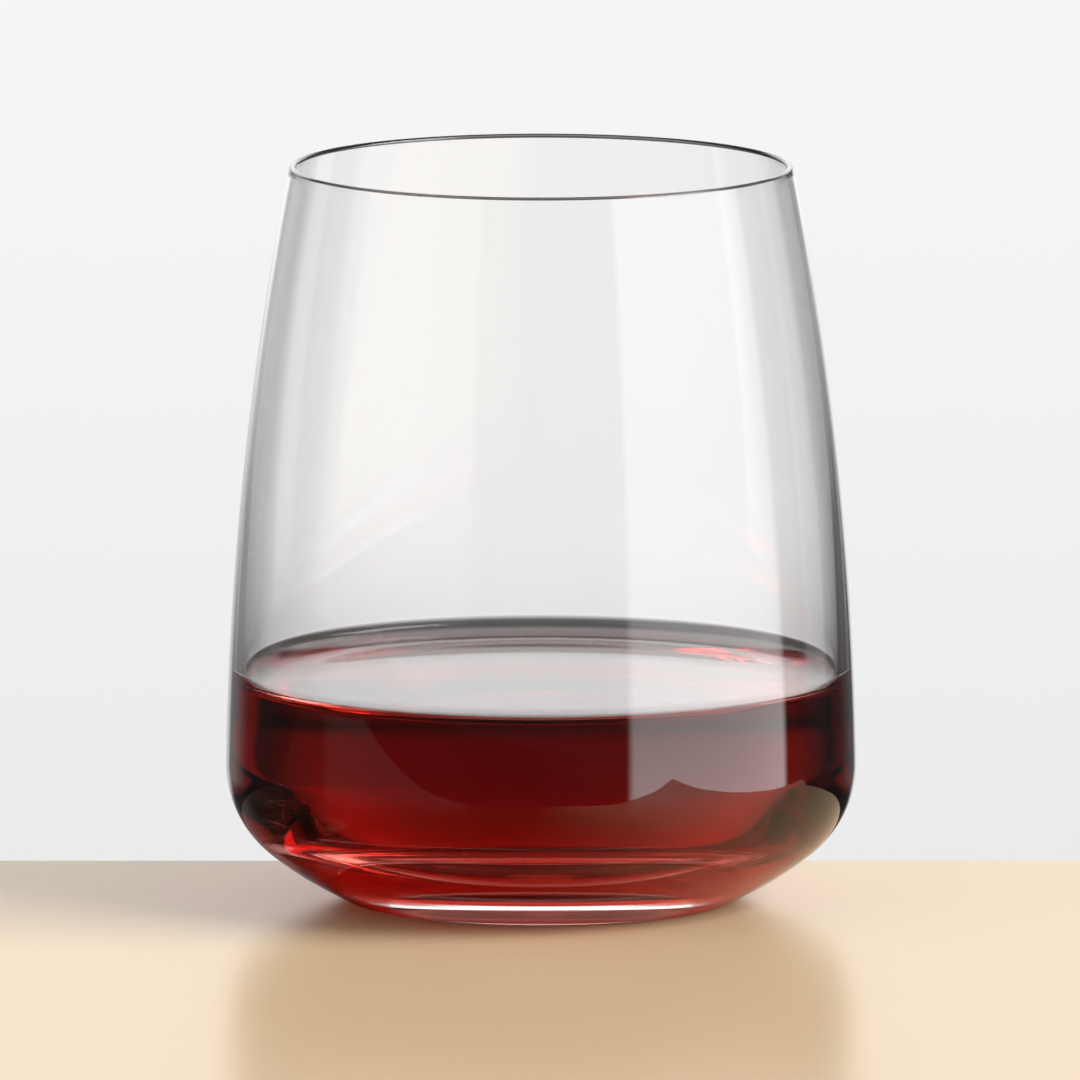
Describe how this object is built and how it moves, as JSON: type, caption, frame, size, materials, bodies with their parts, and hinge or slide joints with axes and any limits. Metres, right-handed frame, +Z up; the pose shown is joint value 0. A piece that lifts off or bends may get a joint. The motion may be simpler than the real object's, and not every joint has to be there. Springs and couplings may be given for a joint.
{
  "type": "stemless wine glass",
  "caption": "Clear stemless wine glass that tapers to its mouth over a round shoulder and a small foot, holding a serving of red wine.",
  "frame": {"origin": "centre of the foot's resting ring, in the table plane", "axes": "+Z up along the axis of the bowl; +X and +Y are any two square directions, because both pieces are turned about Z"},
  "size_m": [0.093, 0.093, 0.109],
  "materials": {
    "crystal": "fire-polished clear crystal glass",
    "red_wine": "clear deep red liquid"
  },
  "bodies": {
    "root": {"glass": "crystal", "wine": "red_wine"}
  },
  "joints": []
}
